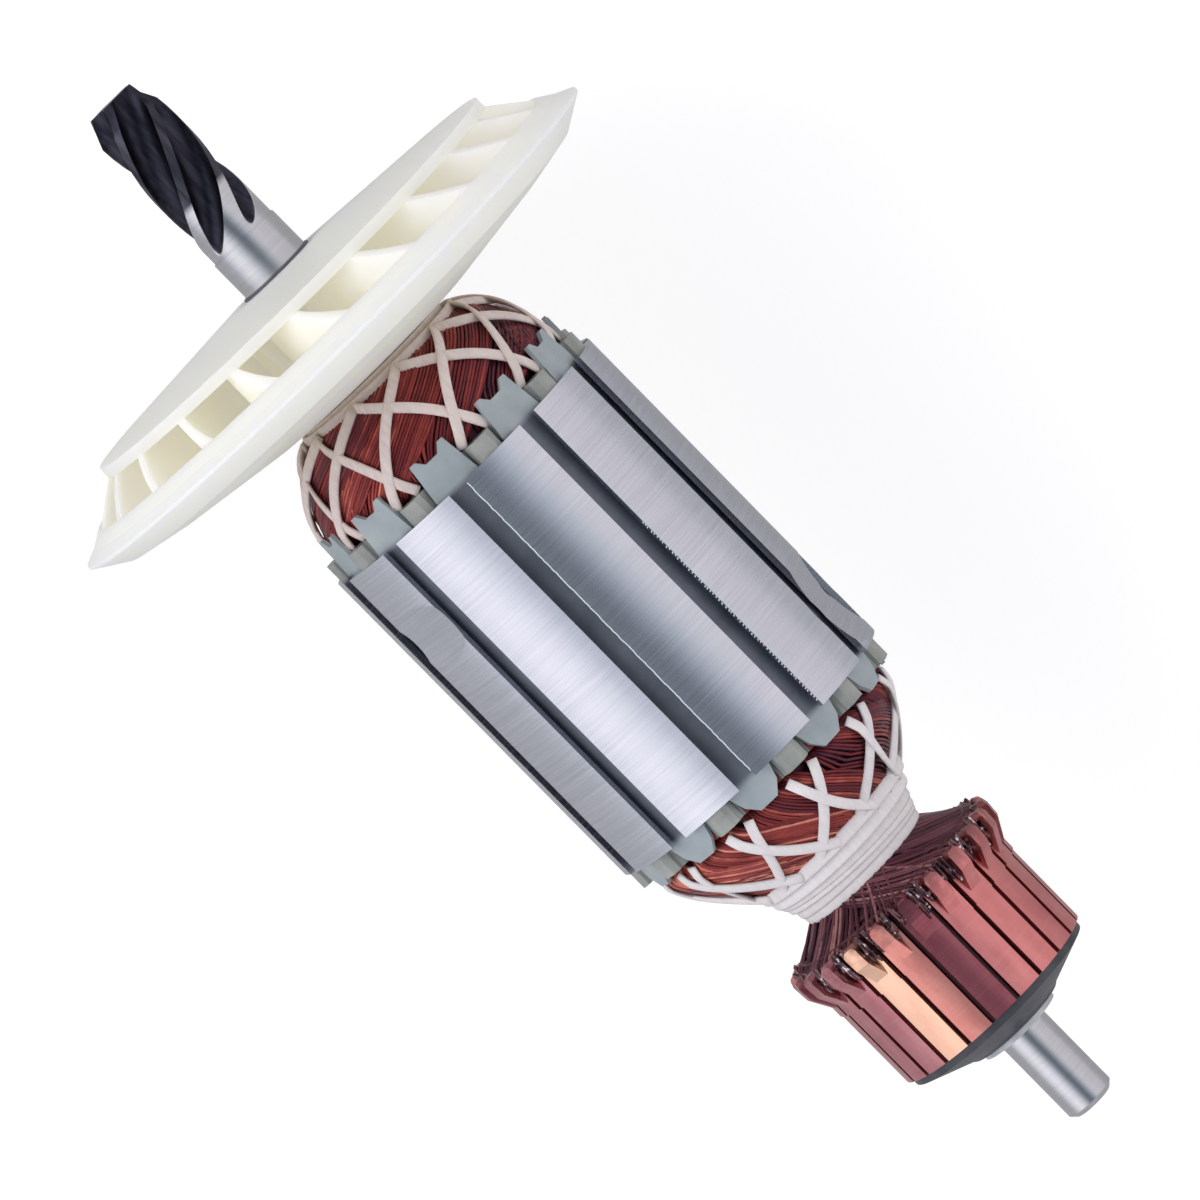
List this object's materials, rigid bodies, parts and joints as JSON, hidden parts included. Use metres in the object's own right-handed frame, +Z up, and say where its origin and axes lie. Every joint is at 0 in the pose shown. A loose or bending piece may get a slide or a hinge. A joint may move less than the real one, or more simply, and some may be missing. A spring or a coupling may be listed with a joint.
{
  "type": "motor armature",
  "caption": "Power-tool motor armature: shaft with helical pinion, ivory fan, laced copper winding on a slotted steel core, and a copper hook commutator.",
  "frame": {"origin": "on the shaft's axis, at the middle of the drive-end bearing seat", "axes": "+X along the shaft towards the commutator, +Z up and +Y across with the shaft lying level"},
  "size_m": [0.1748, 0.0844, 0.0844],
  "materials": {
    "shaft_steel": "turned and ground, dark in the pinion's flutes",
    "sleeve_plastic": "pale grey moulding",
    "fan_nylon": "ivory nylon, slightly translucent",
    "core_steel": "turned sheet edges",
    "insulator_plastic": "pale grey moulding",
    "wedge_fibre": "grey-green varnished fibre",
    "liner_paper": "varnished insulating sheet",
    "enamelled_copper": "dark red enamelled copper wire",
    "lead_copper": "dark enamelled copper wire",
    "lacing_cord": "off-white flat cord, varnished",
    "bar_copper": "drawn copper, turned brush track",
    "phenolic": "dark slate moulding"
  },
  "bodies": {
    "root": {"commutator_bar_01": "bar_copper", "commutator_bar_02": "bar_copper", "commutator_bar_03": "bar_copper", "commutator_bar_04": "bar_copper", "commutator_bar_05": "bar_copper", "commutator_bar_06": "bar_copper", "commutator_bar_07": "bar_copper", "commutator_bar_08": "bar_copper", "commutator_bar_09": "bar_copper", "commutator_bar_10": "bar_copper", "commutator_bar_11": "bar_copper", "commutator_bar_12": "bar_copper", "commutator_bar_13": "bar_copper", "commutator_bar_14": "bar_copper", "commutator_bar_15": "bar_copper", "commutator_bar_16": "bar_copper", "commutator_bar_17": "bar_copper", "commutator_bar_18": "bar_copper", "commutator_bar_19": "bar_copper", "commutator_bar_20": "bar_copper", "commutator_bar_21": "bar_copper", "commutator_bar_22": "bar_copper", "commutator_end_insulator": "insulator_plastic", "commutator_end_lacing": "lacing_cord", "commutator_end_windings": "enamelled_copper", "commutator_leads": "lead_copper", "commutator_moulding": "phenolic", "drive_end_insulator": "insulator_plastic", "drive_end_lacing": "lacing_cord", "drive_end_windings": "enamelled_copper", "fan": "fan_nylon", "insulating_sleeve": "sleeve_plastic", "lamination_stack": "core_steel", "pinion_shaft": "shaft_steel", "slot_liner_01": "liner_paper", "slot_liner_02": "liner_paper", "slot_liner_03": "liner_paper", "slot_liner_04": "liner_paper", "slot_liner_05": "liner_paper", "slot_liner_06": "liner_paper", "slot_liner_07": "liner_paper", "slot_liner_08": "liner_paper", "slot_liner_09": "liner_paper", "slot_liner_10": "liner_paper", "slot_liner_11": "liner_paper", "slot_wedge_01": "wedge_fibre", "slot_wedge_02": "wedge_fibre", "slot_wedge_03": "wedge_fibre", "slot_wedge_04": "wedge_fibre", "slot_wedge_05": "wedge_fibre", "slot_wedge_06": "wedge_fibre", "slot_wedge_07": "wedge_fibre", "slot_wedge_08": "wedge_fibre", "slot_wedge_09": "wedge_fibre", "slot_wedge_10": "wedge_fibre", "slot_wedge_11": "wedge_fibre", "slot_windings": "enamelled_copper"}
  },
  "joints": []
}
